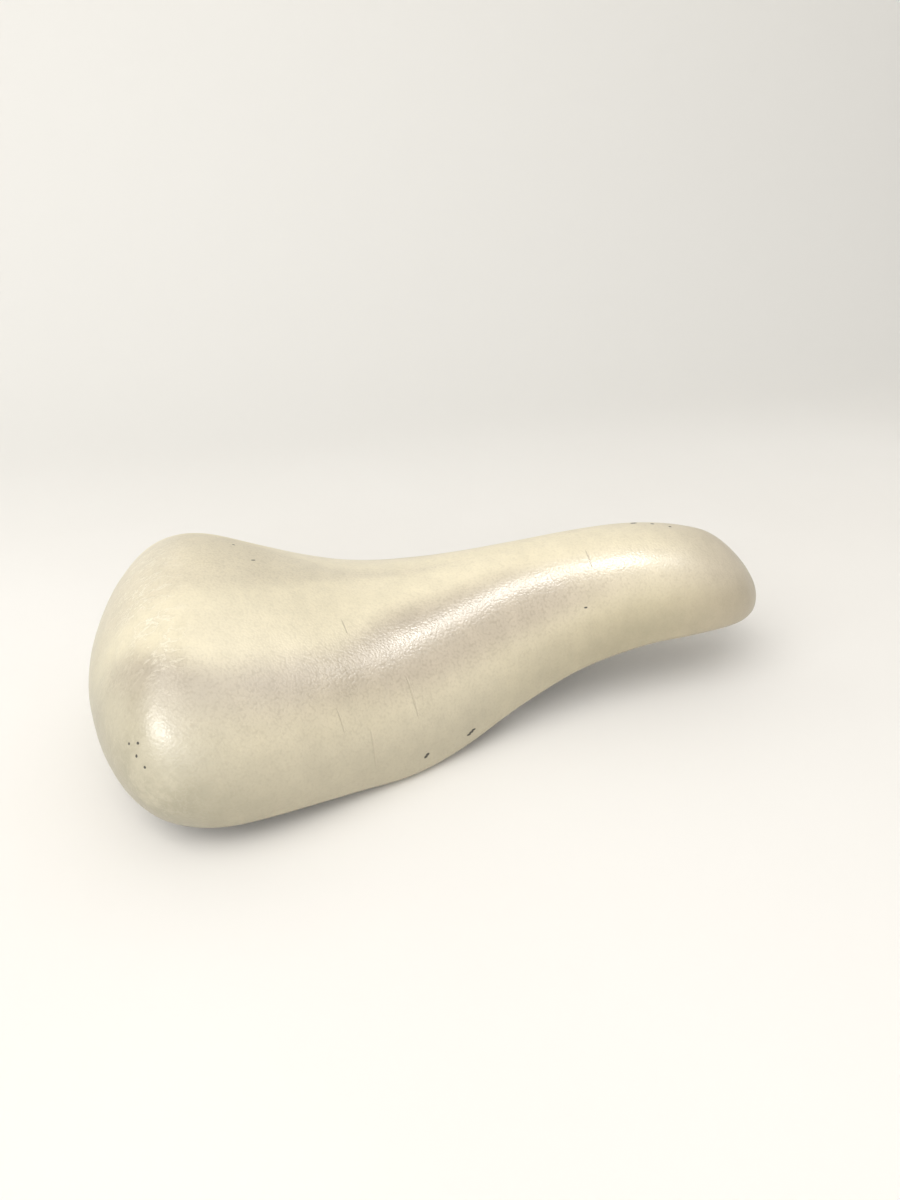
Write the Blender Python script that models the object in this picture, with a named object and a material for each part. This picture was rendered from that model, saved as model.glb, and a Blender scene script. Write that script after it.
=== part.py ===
"""Bicycle saddle: a stapled cover over foam on a moulded base shell, carried by two steel rails.

Metres, +Z up, +X to the nose, +Y to the rider's left. The saddle stands at Z = 0 on the straight
stretch of its rails, and the origin is below the middle of its length. Run it with
blender --background --python part.py, or from Blender's text editor.
"""

import math

import bmesh
import bpy
import numpy as np
from mathutils import Matrix, Vector

MM = 0.001
GAP = 0.3 * MM  # left between any two pieces that touch

# ---------------------------------------------------------------- outer shape
# Each row is one station. Stations are distances along X from the middle, in millimetres.
OUTLINE = (  # station, half width
    (-136, 0), (-132, 37), (-116, 70), (-88, 75), (-56, 66), (-28, 57),
    (0, 45.5), (34, 34.5), (74, 31), (106, 28.5), (128, 17), (136, 0),
)
CREST = (  # station, height of the top line
    (-136, 74), (-111, 81), (-76, 71), (-36, 58), (14, 59.5), (64, 63.5), (104, 60.5), (136, 52),
)
RIM = (  # station, lowest point of the cover
    (-136, 12.5), (-106, 7.5), (-66, 4.5), (-26, 0.5), (14, 9), (64, 21.5), (109, 24), (136, 23),
)
# A rib runs from the crest to the rim as one cubic curve, in shares of its reach and its drop.
RIB = (  # station, reach of handle 1, reach of handle 2, drop of handle 2, reach of the rim
    (-136, 0.48, 1.23, 0.39, 0.93),
    (-86, 0.42, 1.21, 0.48, 0.96),
    (-36, 0.60, 1.02, 0.46, 0.94),
    (14, 0.59, 0.98, 0.46, 0.94),
    (74, 0.56, 1.08, 0.36, 0.92),
    (136, 0.63, 0.99, 0.53, 0.99),
)
SPINE_START = -79 * MM  # where the ribs of the tail meet the crest
SPINE_END = 102.5 * MM  # where the ribs of the nose meet the crest
STEPS_PER_STATION = 3
RIB_STEPS = 8  # from the crest to the top of the hem, and 2 more along it
LEAN = 0.5  # the share of a rib over which a layer's direction turns from vertical to the skin's normal

# --------------------------------------------------------------------- layers
COVER = 1.4 * MM
FOAM_TOP = ((-136, 14), (-40, 13), (40, 9), (136, 7))  # station, thickness under the crest
FOAM_EDGE = 1.0 * MM
SHELL = 2.5 * MM
FOLD_RADIUS = (2 * COVER + 3 * GAP + FOAM_EDGE + SHELL) / 2  # outside of the cover's turned edge
FOLD_STEPS = 4
HEM = 13 * MM  # how far the cover runs up inside the shell
HEM_LIMIT = 0.3  # and at most this share of a rib
HEM_DEPTH = COVER + 3 * GAP + SHELL  # of the hem's outer face below the skin, without the foam
SHELL_LIP = 1.2 * MM  # the shell's edge reaches this far into the fold
LIP_EDGE = (0.25, 0.75)  # shares of the wall between which that edge is flat

# -------------------------------------------------------------------- staples
STAPLES = 22
STAPLE_WIDTH = 8 * MM
STAPLE_WIRE = (1.0 * MM, 0.6 * MM)
STAPLE_BITE = 1.5 * MM  # depth of a leg in the shell

# ---------------------------------------------------------------------- rails
RAIL = 7 * MM  # diameter across the flats
RAIL_SIDES = 12
RAIL_SPACING = 44 * MM
CLAMP_REAR = -65 * MM  # corners of the straight stretch that a seat post grips
CLAMP_FRONT = 9 * MM
SEAT_Z = 41 * MM  # flat underside of the shell's mounting pads
REAR_TIP = (-113 * MM, 36 * MM)
REAR_KNEE = (-84 * MM, 29 * MM)
NOSE_KNEE = (76 * MM, 10.5 * MM)
NOSE_TIP = (101 * MM, 10.5 * MM)
BEND_RADIUS = 18 * MM
BEND_STEPS = 6

# --------------------------------------------------------------------- clamps
STRAP = 1.8 * MM
STRAP_WIDTH = 13 * MM
STRAP_INSET = 9.5 * MM  # from a rail's tip to the middle of its strap
EAR = 9.5 * MM
HUMP_STEPS = 6
REAR_PAD = (22 * MM, 35 * MM)
NOSE_PAD = (24 * MM, 31 * MM)
PAD_TOP = 70 * MM  # above the shell, which trims the pads
SCREW_RADIUS = 2 * MM
SCREW_LENGTH = 7 * MM
SCREW_SIDES = 12
POINT = 1.5 * MM  # length of a screw's tapered point, which ends at half the radius
HEAD_RADIUS = 3.8 * MM
HEAD_HEIGHT = 2.2 * MM
HEAD_ROUNDING = ((1, 0.5), (0.85, 0.85), (0.62, 1))  # shares of the head's radius and height
RECESS_ARM = 2.0 * MM
RECESS_HALF = 0.5 * MM
RECESS_DEPTH = 1.3 * MM
RECESS_TAPER = 0.65
HOLE_MARGIN = 1 * MM  # how far a screw hole's guide starts below the strap

SHARP = math.radians(35)  # edges that turn more than this are shown sharp
EPS = 1e-3  # a small step, as a share of a rib or along the ring
WELD = 1e-6


# ------------------------------------------------------------------- curves
def spline(knots, values, level_ends=False):
    """A cubic spline through the values. Its ends are level, or free to run on straight."""
    knots, values = np.array(knots, float), np.array(values, float)
    count = len(knots)
    gap = np.diff(knots)
    rise = np.diff(values) / gap
    system = np.eye(count)
    target = np.zeros(count)
    for i in range(1, count - 1):
        system[i, i - 1 : i + 2] = gap[i], 2 * (gap[i - 1] + gap[i]), gap[i - 1]
        target[i] = 3 * (gap[i] * rise[i - 1] + gap[i - 1] * rise[i])
    if not level_ends:
        system[0, 0:2] = 2, 1
        system[-1, -2:] = 1, 2
        target[0], target[-1] = 3 * rise[0], 3 * rise[-1]
    slope = np.linalg.solve(system, target)

    def at(x):
        i = np.clip(np.searchsorted(knots, x, side="right") - 1, 0, count - 2)
        s = (x - knots[i]) / gap[i]
        start = values[i] * (1 + 2 * s) * (1 - s) ** 2 + slope[i] * gap[i] * s * (1 - s) ** 2
        end = values[i + 1] * (3 - 2 * s) * s**2 - slope[i + 1] * gap[i] * s**2 * (1 - s)
        return start + end

    return at


def along(rows, column=1, unit=MM):
    """A column of a station table as a smooth function of X, in metres."""
    stations = [row[0] * MM for row in rows]
    return spline(stations, [row[column] * unit for row in rows])


def knots_of(rows):
    """One knot for each outline point, spaced by the square root of the distance between points."""
    points = np.array(rows, float) * MM
    steps = np.sqrt(np.linalg.norm(np.diff(points, axis=0), axis=1))
    return np.concatenate([[0], np.cumsum(steps)])


KNOTS = knots_of(OUTLINE)
OUTLINE_X = spline(KNOTS, [row[0] * MM for row in OUTLINE], level_ends=True)
OUTLINE_W = spline(KNOTS, [row[1] * MM for row in OUTLINE])
TAIL_X, NOSE_X = OUTLINE_X(0), OUTLINE_X(KNOTS[-1])
CREST_Z = along(CREST)
RIM_Z = along(RIM)
FOAM_Z = along(FOAM_TOP)
HANDLE_1 = along(RIB, 1, 1)
HANDLE_2 = along(RIB, 2, 1)
HANDLE_2_DROP = along(RIB, 3, 1)
RIM_REACH = along(RIB, 4, 1)


def outline(v):
    """The plan outline at ring position v: 0 at the tail, positive on the left, +-KNOTS[-1] at the nose."""
    lap = 2 * KNOTS[-1]
    v = (v + KNOTS[-1]) % lap - KNOTS[-1]
    return OUTLINE_X(np.abs(v)), np.sign(v) * OUTLINE_W(np.abs(v))


def skin(v, t):
    """The cover's outer surface at ring position v, from the crest (t = 0) to the fold (t = 1)."""
    rim_x, rim_y = outline(v)
    foot = SPINE_START + (SPINE_END - SPINE_START) * (rim_x - TAIL_X) / (NOSE_X - TAIL_X)
    near, mid, far = 3 * t * (1 - t) ** 2, 3 * t**2 * (1 - t), t**3
    reach = near * HANDLE_1(rim_x) + mid * HANDLE_2(rim_x) + far * RIM_REACH(rim_x)
    drop = mid * HANDLE_2_DROP(rim_x) + far
    x = foot + (rim_x - foot) * reach
    z = CREST_Z(x) * (1 - drop) + (RIM_Z(rim_x) + FOLD_RADIUS) * drop
    return np.stack([x, rim_y * reach, z], axis=-1)


def frame_at(v, t):
    """Unit outward direction and unit downhill direction of the skin.

    The outward direction is the skin's normal, and turns to straight up on the crest.
    """
    lean = np.minimum(t / LEAN, 1)[..., None]
    t = np.maximum(t, 2 * EPS)
    across = skin(v + EPS, t) - skin(v - EPS, t)
    down = skin(v, t + EPS) - skin(v, t - EPS)
    normal = np.cross(across, down)
    normal /= np.linalg.norm(normal, axis=-1, keepdims=True)
    normal = normal * lean + np.array([0, 0, 1]) * (1 - lean)
    normal /= np.linalg.norm(normal, axis=-1, keepdims=True)
    down /= np.linalg.norm(down, axis=-1, keepdims=True)
    return normal, down


def foam_depth(v, t):
    """Foam thickness: full along the crest, fading to its edge thickness at the rim."""
    top = FOAM_Z(skin(v, t)[..., 0])
    return FOAM_EDGE + (top - FOAM_EDGE) * (1 - t**2) ** 1.5


def layer(v, t, solid, foam_share=1.0):
    """A ring at a depth below the skin: the pieces and gaps above it, and a share of the foam."""
    depth = solid + foam_share * foam_depth(v, t)
    normal, _ = frame_at(v, t)
    return skin(v, t) - normal * depth[..., None]


def ring_positions():
    """Ring positions all the way round, tail to nose on the left and back on the right."""
    half = [
        a + (b - a) * i / STEPS_PER_STATION
        for a, b in zip(KNOTS[:-1], KNOTS[1:])
        for i in range(STEPS_PER_STATION)
    ]
    half.append(KNOTS[-1])
    return np.array(half + [-v for v in reversed(half[1:-1])])


def hem_position(v, share):
    """How far down the rib the hem is, at a share of its height above the fold."""
    step = skin(v, np.ones_like(v)) - skin(v, np.ones_like(v) - EPS)
    height = HEM * EPS / np.linalg.norm(step, axis=-1)
    return 1 - share * np.minimum(height, HEM_LIMIT)


def rib_positions(v):
    """Positions down every rib, from the crest to the fold."""
    top = hem_position(v, 1)
    return [top * i / RIB_STEPS for i in range(RIB_STEPS + 1)] + hem_positions(v)[1:]


def hem_positions(v):
    """Positions along the hem, from its free edge down to the fold."""
    return [hem_position(v, share) for share in (1, 0.5, 0)]


# ------------------------------------------------------------------- meshes
def material(name, colour, roughness, metallic=0.0):
    made = bpy.data.materials.new(name)
    made.use_nodes = True
    shader = made.node_tree.nodes["Principled BSDF"]
    shader.inputs["Base Color"].default_value = (*colour, 1)
    shader.inputs["Roughness"].default_value = roughness
    shader.inputs["Metallic"].default_value = metallic
    return made


def add_object(name, bm, finish=None, parent=None, smooth=True):
    """Links a closed mesh into the scene as one object with its faces pointing out."""
    bmesh.ops.recalc_face_normals(bm, faces=bm.faces)
    mesh = bpy.data.meshes.new(name)
    bm.to_mesh(mesh)
    bm.free()
    if smooth:
        mesh.shade_smooth()
        mesh.set_sharp_from_angle(angle=SHARP)
    made = bpy.data.objects.new(name, mesh)
    bpy.context.scene.collection.objects.link(made)
    made.parent = parent
    if finish:
        mesh.materials.append(finish)
    return made


def as_cutter(made):
    """Marks an object as a guide for a Boolean, which isn't a piece of the saddle."""
    made.hide_render = True
    made.display_type = "WIRE"
    return made


def loft(rings):
    """A mesh through closed rings of the same number of points, with a flat face at each end."""
    bm = bmesh.new()
    loops = [[bm.verts.new(p) for p in ring] for ring in rings]
    count = len(loops[0])
    for low, high in zip(loops[:-1], loops[1:]):
        for i in range(count):
            j = (i + 1) % count
            bm.faces.new((low[i], low[j], high[j], high[i]))
    bm.faces.new(reversed(loops[0]))
    bm.faces.new(loops[-1])
    return bm


def dish(outside, edge, inside):
    """A body between two nested surfaces, joined round its edge.

    Both surfaces run from the crest to the rim, and their first rings close on the mid plane. Every
    quad is split the same way in every dish, so that the facets of nested layers stay parallel.
    """
    bm = bmesh.new()
    around = [outside[-1], *edge, inside[-1]]
    for rings in (outside, around, inside):
        loops = [[bm.verts.new(p) for p in ring] for ring in rings]
        count = len(loops[0])
        for top, low in zip(loops[:-1], loops[1:]):
            for i in range(count):
                j = (i + 1) % count
                rear = min(i, count - 1 - i) < count // 4
                left = i < count // 2
                a, b = (i, j) if rear == left else (j, i)
                bm.faces.new((top[a], low[a], low[b]))
                bm.faces.new((top[a], low[b], top[b]))
    bmesh.ops.remove_doubles(bm, verts=bm.verts, dist=WELD)
    return bm


def cut(target, cutter, operation="DIFFERENCE"):
    made = target.modifiers.new(cutter.name, "BOOLEAN")
    made.operation = operation
    made.object = cutter


def box_mesh(size, centre=(0, 0, 0)):
    bm = bmesh.new()
    bmesh.ops.create_cube(bm, size=1)
    bmesh.ops.scale(bm, vec=size, verts=bm.verts)
    bmesh.ops.translate(bm, vec=centre, verts=bm.verts)
    return bm


def sweep(path, section, up):
    """A bar along a path. The section's points are (sideways, upwards), mitred at each corner."""
    path = [Vector(p) for p in path]
    steps = [(b - a).normalized() for a, b in zip(path[:-1], path[1:])]
    before, after = [steps[0]] + steps, steps + [steps[-1]]
    rings = []
    for point, a, b in zip(path, before, after):
        tangent = (a + b).normalized()
        side = tangent.cross(up).normalized()
        top = side.cross(tangent)
        turn = (b - a).normalized()
        stretch = 1 / max(tangent.dot(a), EPS) - 1
        ring = []
        for s, h in section:
            offset = side * s + top * h
            ring.append(point + offset + turn * (offset.dot(turn) * stretch))
        rings.append(ring)
    return loft(rings)


# ------------------------------------------------------- cover, foam and shell
def fold(v, radius):
    """Rings round the cover's turned edge, from outside to inside."""
    t = np.ones_like(v)
    normal, down = frame_at(v, t)
    centre = skin(v, t) - normal * FOLD_RADIUS
    angles = [math.pi * i / FOLD_STEPS for i in range(1, FOLD_STEPS)]
    return [centre + radius * (normal * math.cos(a) + down * math.sin(a)) for a in angles]


def add_cover(finish, parent):
    v = ring_positions()
    outside = [layer(v, t, 0, 0) for t in rib_positions(v)]
    inside = [layer(v, t, COVER, 0) for t in rib_positions(v)]
    edge = fold(v, FOLD_RADIUS)
    edge += [layer(v, t, HEM_DEPTH + COVER) for t in reversed(hem_positions(v))]
    edge += [layer(v, t, HEM_DEPTH) for t in hem_positions(v)]
    edge += reversed(fold(v, FOLD_RADIUS - COVER))
    return add_object("cover", dish(outside, edge, inside), finish, parent)


def add_foam(finish, parent):
    v = ring_positions()
    outside = [layer(v, t, COVER + GAP, 0) for t in rib_positions(v)]
    inside = [layer(v, t, COVER + GAP) for t in rib_positions(v)]
    return add_object("foam_padding", dish(outside, [], inside), finish, parent)


def add_shell(finish, parent):
    v = ring_positions()
    depth = COVER + 2 * GAP
    rim = np.ones_like(v)
    lip = frame_at(v, rim)[1] * SHELL_LIP
    outside = [layer(v, t, depth) for t in rib_positions(v)]
    inside = [layer(v, t, depth + SHELL) for t in rib_positions(v)]
    edge = [layer(v, rim, depth + share * SHELL) + lip for share in LIP_EDGE]
    return add_object("base_shell", dish(outside, edge, inside), finish, parent)


def add_shell_core():
    """Everything under the middle of the shell's wall, which trims the mounting pads."""
    v = ring_positions()
    top = [layer(v, t, COVER + 2 * GAP + SHELL / 2) for t in rib_positions(v)]
    floor = [top[-1] * (1, 0, 1), top[-1]]
    return as_cutter(add_object("shell_core", dish(top, [], floor)))


def add_pad(name, place, size, core, shell):
    """Joins a mounting pad with a flat underside to the shell."""
    pad = add_object(name, box_mesh((*size, PAD_TOP - SEAT_Z), (0, 0, (PAD_TOP - SEAT_Z) / 2)))
    pad.matrix_world = place
    cut(as_cutter(pad), core, "INTERSECT")
    cut(shell, pad, "UNION")


# -------------------------------------------------------------------- staples
def staple_places():
    """A frame for each staple: X along its crown, Z out of the saddle, origin on the hem."""
    v = ring_positions()
    t = hem_position(v, 0.5)
    hem = layer(v, t, HEM_DEPTH + COVER)
    hem, out = np.vstack([hem, hem[:1]]), frame_at(v, t)[0]
    out = np.vstack([out, out[:1]])
    run = np.concatenate([[0], np.cumsum(np.linalg.norm(np.diff(hem, axis=0), axis=1))])

    def between(rows, distance):
        return Vector([np.interp(distance, run, rows[:, axis]) for axis in range(3)])

    places = []
    for i in range(STAPLES):
        middle = run[-1] * (i + 0.5) / STAPLES
        start, end = (between(hem, middle + side * STAPLE_WIDTH / 2) for side in (-1, 1))
        crown = (end - start).normalized()
        normal = between(out, middle)
        normal = (normal - crown * normal.dot(crown)).normalized()
        turn = Matrix((crown, normal.cross(crown), normal)).transposed().to_4x4()
        places.append(Matrix.Translation((start + end) / 2) @ turn)
    return places


def staple_mesh():
    wide, thick = STAPLE_WIRE
    leg = STAPLE_WIDTH / 2 - thick / 2
    back = -GAP - thick / 2
    tip = COVER + GAP + STAPLE_BITE
    path = [(-leg, 0, tip), (-leg, 0, back), (leg, 0, back), (leg, 0, tip)]
    section = [(s * thick / 2, h * wide / 2) for s, h in ((-1, -1), (1, -1), (1, 1), (-1, 1))]
    return sweep(path, section, Vector((0, 1, 0)))


def leg_holes(places):
    """One guide mesh with a hole for every staple leg."""
    wide, thick = STAPLE_WIRE
    deep = COVER + STAPLE_BITE + 3 * GAP
    bm = bmesh.new()
    for place in places:
        for side in (-1, 1):
            made = bmesh.ops.create_cube(bm, size=1)["verts"]
            bmesh.ops.scale(bm, vec=(thick + 2 * GAP, wide + 2 * GAP, deep), verts=made)
            centre = Vector((side * (STAPLE_WIDTH - thick) / 2, 0, deep / 2 - GAP))
            bmesh.ops.translate(bm, vec=centre, verts=made)
            bmesh.ops.transform(bm, matrix=place, verts=made)
    return as_cutter(add_object("staple_leg_holes", bm))


def add_staples(finish, parent, cover, shell):
    places = staple_places()
    holes = leg_holes(places)
    cut(cover, holes)
    cut(shell, holes)
    mesh = None
    for number, place in enumerate(places, start=1):
        if mesh is None:
            made = add_object(f"cover_staple_{number:02d}", staple_mesh(), finish, parent, smooth=False)
            mesh = made.data
        else:
            made = bpy.data.objects.new(f"cover_staple_{number:02d}", mesh)
            bpy.context.scene.collection.objects.link(made)
            made.parent = parent
        made.matrix_world = place


# ---------------------------------------------------------------------- rails
def bent_path(corners, radius, steps):
    """A path through the corners with each inner corner rounded to the radius."""
    corners = [Vector(c) for c in corners]
    path = [corners[0]]
    for before, corner, after in zip(corners[:-2], corners[1:-1], corners[2:]):
        a, b = (before - corner).normalized(), (after - corner).normalized()
        half = a.angle(b) / 2
        middle = corner + (a + b).normalized() * (radius / math.sin(half))
        reach = radius / math.tan(half)
        start, end = corner + a * reach - middle, corner + b * reach - middle
        for i in range(steps + 1):
            path.append(middle + start.slerp(end, i / steps) * radius)
    path.append(corners[-1])
    return path


def rail_corners(side):
    """Corners of a rail's centre line, from its rear tip to its nose tip."""
    high = SEAT_Z - GAP - RAIL / 2
    low = RAIL / 2
    plan = (
        (*REAR_TIP, high),
        (*REAR_KNEE, high),
        (CLAMP_REAR, RAIL_SPACING / 2, low),
        (CLAMP_FRONT, RAIL_SPACING / 2, low),
        (*NOSE_KNEE, high),
        (*NOSE_TIP, high),
    )
    return [(x, side * y, z) for x, y, z in plan]


def add_rail(name, side, finish, parent):
    """A bent steel bar with a flat facet along its top and its bottom."""
    step = 2 * math.pi / RAIL_SIDES
    reach = RAIL / 2 / math.cos(step / 2)
    angles = [step * (i + 0.5) for i in range(RAIL_SIDES)]
    section = [(reach * math.cos(a), reach * math.sin(a)) for a in angles]
    path = bent_path(rail_corners(side), BEND_RADIUS, BEND_STEPS)
    return add_object(name, sweep(path, section, Vector((0, 0, 1))), finish, parent)


# --------------------------------------------------------------------- clamps
def hump(centre, radius):
    """Points of a half circle that hangs below the strap, round one rail."""
    angles = [math.pi + math.pi * i / HUMP_STEPS for i in range(HUMP_STEPS + 1)]
    arc = [(centre + radius * math.cos(a), radius * math.sin(a) - RAIL / 2) for a in angles]
    return [(centre - radius, 0), *arc, (centre + radius, 0)]


def strap_mesh(rails, ear):
    """A pressed strap with a hump for each rail, and a flat ear of that width at each end."""
    inner, outer = [], []
    for centre in rails:
        inner += hump(centre, RAIL / 2 + GAP)
        outer += [(y, min(z, -STRAP)) for y, z in hump(centre, RAIL / 2 + GAP + STRAP)]
    if ear:
        reach = rails[-1] + RAIL / 2 + GAP + STRAP + ear
        inner = [(-reach, 0)] + inner + [(reach, 0)]
        outer = [(-reach, -STRAP)] + outer + [(reach, -STRAP)]
    else:
        outer[0] = (outer[0][0], 0)
        outer[-1] = (outer[-1][0], 0)
    profile = inner + outer[::-1]
    rings = [[(x, y, z) for y, z in profile] for x in (-STRAP_WIDTH / 2, STRAP_WIDTH / 2)]
    return loft(rings)


def turned(profile, sides):
    """Rings of a turned shape. The profile's points are (radius, height)."""
    turns = [2 * math.pi * (i - 0.5) / sides for i in range(sides)]
    return [[(r * math.cos(a), r * math.sin(a), z) for a in turns] for r, z in profile]


def add_clamp(name, place, rails, ear, screws, finishes, parent, shell):
    """A strap under the shell's pad, with its screws. The place's origin is on the pad."""
    strap = add_object(name, strap_mesh(rails, ear), finishes["strap"], parent)
    strap.matrix_world = place @ Matrix.Translation((0, 0, -GAP))
    bore = SCREW_RADIUS + GAP
    for label, offset in screws:
        spot = place @ Matrix.Translation((0, offset, 0))
        rings = turned(((bore, -STRAP - HOLE_MARGIN), (bore, SCREW_LENGTH)), SCREW_SIDES)
        hole = as_cutter(add_object(f"{name}_hole{label}", loft(rings)))
        hole.matrix_world = spot
        cut(strap, hole)
        cut(shell, hole)
        screw = add_object(f"{name}_screw{label}", screw_mesh(), finishes["screw"], parent)
        screw.matrix_world = spot @ Matrix.Translation((0, 0, -STRAP - 2 * GAP))


def recess_ring(half, arm, z):
    """A cross outline with as many points as the screw's other rings."""
    corner = [(arm, -half), (arm, half), (half, half)]
    ring = []
    for quarter in range(4):
        c, s = math.cos(quarter * math.pi / 2), math.sin(quarter * math.pi / 2)
        ring += [(x * c - y * s, x * s + y * c, z) for x, y in corner]
    return ring


def screw_mesh():
    """A pan head screw with a cross recess. Z = 0 is under its head, and its tip points up."""
    length = SCREW_LENGTH - HOLE_MARGIN
    profile = [(SCREW_RADIUS / 2, length), (SCREW_RADIUS, length - POINT)]
    profile += [(SCREW_RADIUS, 0), (HEAD_RADIUS, 0)]
    profile += [(HEAD_RADIUS * wide, -HEAD_HEIGHT * high) for wide, high in HEAD_ROUNDING]
    rings = turned(profile, SCREW_SIDES)
    rings.append(recess_ring(RECESS_HALF, RECESS_ARM, -HEAD_HEIGHT))
    taper = (RECESS_HALF * RECESS_TAPER, RECESS_ARM * RECESS_TAPER)
    rings.append(recess_ring(*taper, RECESS_DEPTH - HEAD_HEIGHT))
    return loft(rings)


def strap_place(tip, knee):
    """A frame on the pads' plane, over the middle of a strap, with X along the rail's end."""
    tip, knee = Vector((*tip, SEAT_Z)), Vector((*knee, SEAT_Z))
    run = (knee - tip).normalized()
    heading = math.atan2(run.y, run.x)
    return Matrix.Translation(tip + run * STRAP_INSET) @ Matrix.Rotation(heading, 4, "Z")


def mirrored(point, side):
    """A point in plan for the left (1) or right (-1) rail, or on the mid plane (0)."""
    return point[0], side * point[1]


def add_clamps(finishes, parent, shell):
    core = add_shell_core()
    reach = RAIL / 2 + GAP + STRAP + EAR / 2
    for word, side in (("left", 1), ("right", -1)):
        place = strap_place(mirrored(REAR_TIP, side), mirrored(REAR_KNEE, side))
        add_pad(f"rear_pad_{word}", place, REAR_PAD, core, shell)
        screws = (("_outer", side * reach), ("_inner", -side * reach))
        add_clamp(f"rear_rail_clamp_{word}", place, (0,), EAR, screws, finishes, parent, shell)
    place = strap_place(mirrored(NOSE_TIP, 0), mirrored(NOSE_KNEE, 0))
    add_pad("nose_pad", place, NOSE_PAD, core, shell)
    rails = (-NOSE_TIP[1], NOSE_TIP[1])
    add_clamp("nose_rail_clamp", place, rails, 0, (("", 0),), finishes, parent, shell)


# ----------------------------------------------------------------------- main
def finishes():
    return {
        "cover": material("cover_vinyl", (0.78, 0.73, 0.58), 0.42),
        "foam": material("polyurethane_foam", (0.80, 0.72, 0.45), 0.95),
        "shell": material("black_nylon", (0.03, 0.03, 0.032), 0.55),
        "rail": material("chromed_steel", (0.78, 0.78, 0.80), 0.18, 1.0),
        "strap": material("zinc_plated_strap", (0.62, 0.62, 0.60), 0.38, 1.0),
        "screw": material("zinc_plated_screw", (0.66, 0.65, 0.60), 0.32, 1.0),
        "staple": material("staple_steel", (0.60, 0.60, 0.62), 0.35, 1.0),
    }


def main():
    for old in list(bpy.data.objects):
        bpy.data.objects.remove(old)
    looks = finishes()
    saddle = bpy.data.objects.new("saddle", None)
    bpy.context.scene.collection.objects.link(saddle)
    cover = add_cover(looks["cover"], saddle)
    add_foam(looks["foam"], saddle)
    shell = add_shell(looks["shell"], saddle)
    add_clamps(looks, saddle, shell)
    add_staples(looks["staple"], saddle, cover, shell)
    add_rail("rail_left", 1, looks["rail"], saddle)
    add_rail("rail_right", -1, looks["rail"], saddle)


main()
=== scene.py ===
"""The looks of the bicycle saddle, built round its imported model: the vinyl cover's finished surface,
the foam, the moulded shell and the steel parts, with a studio floor, soft light and a camera.
"""

import math

import bmesh
import bpy
import numpy as np
from mathutils import Matrix, Vector, noise

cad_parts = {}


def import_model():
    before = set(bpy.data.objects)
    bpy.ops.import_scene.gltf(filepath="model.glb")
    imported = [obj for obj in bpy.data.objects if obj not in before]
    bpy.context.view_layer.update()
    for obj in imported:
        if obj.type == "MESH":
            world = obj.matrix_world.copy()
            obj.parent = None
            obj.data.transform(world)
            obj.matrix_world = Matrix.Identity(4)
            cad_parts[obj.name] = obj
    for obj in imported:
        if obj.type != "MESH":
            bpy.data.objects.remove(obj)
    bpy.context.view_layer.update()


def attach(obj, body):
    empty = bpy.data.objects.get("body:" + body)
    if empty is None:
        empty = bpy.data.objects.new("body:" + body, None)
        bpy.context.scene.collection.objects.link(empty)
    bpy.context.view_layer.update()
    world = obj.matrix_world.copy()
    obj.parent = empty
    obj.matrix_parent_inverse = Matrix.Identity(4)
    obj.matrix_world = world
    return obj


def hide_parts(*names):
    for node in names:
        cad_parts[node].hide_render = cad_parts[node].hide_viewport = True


MM = 0.001

# ------------------------------------------------ the cover's shape, as the frame's own stations
OUTLINE = (  # station, half width
    (-136, 0), (-132, 37), (-116, 70), (-88, 75), (-56, 66), (-28, 57),
    (0, 45.5), (34, 34.5), (74, 31), (106, 28.5), (128, 17), (136, 0),
)
CREST = (  # station, height of the top line
    (-136, 74), (-111, 81), (-76, 71), (-36, 58), (14, 59.5), (64, 63.5), (104, 60.5), (136, 52),
)
RIM = (  # station, lowest point of the cover
    (-136, 12.5), (-106, 7.5), (-66, 4.5), (-26, 0.5), (14, 9), (64, 21.5), (109, 24), (136, 23),
)
RIB = (  # station, reach of handle 1, reach of handle 2, drop of handle 2, reach of the rim
    (-136, 0.48, 1.23, 0.39, 0.93),
    (-86, 0.42, 1.21, 0.48, 0.96),
    (-36, 0.60, 1.02, 0.46, 0.94),
    (14, 0.59, 0.98, 0.46, 0.94),
    (74, 0.56, 1.08, 0.36, 0.92),
    (136, 0.63, 0.99, 0.53, 0.99),
)
SPINE_START = -79 * MM
SPINE_END = 102.5 * MM
COVER = 1.4 * MM
GAP = 0.3 * MM
FOAM_TOP = ((-136, 14), (-40, 13), (40, 9), (136, 7))
FOAM_EDGE = 1.0 * MM
SHELL = 2.5 * MM
FOLD_RADIUS = (2 * COVER + 3 * GAP + FOAM_EDGE + SHELL) / 2
HEM = 13 * MM
HEM_LIMIT = 0.3
HEM_DEPTH = COVER + 3 * GAP + SHELL
LEAN = 0.5
EPS = 1e-3

# ------------------------------------------------ how finely the visible surfaces are built
RING_STEPS = 18
RIB_STEPS = 60
FOLD_STEPS = 12
HEM_STEPS = 8
INNER_STEPS = 12
PAST_RIM = 1.1  # the rib mark of everything beyond the cover's rim
SHARP = math.radians(35)
WELD = 1e-6

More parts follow.
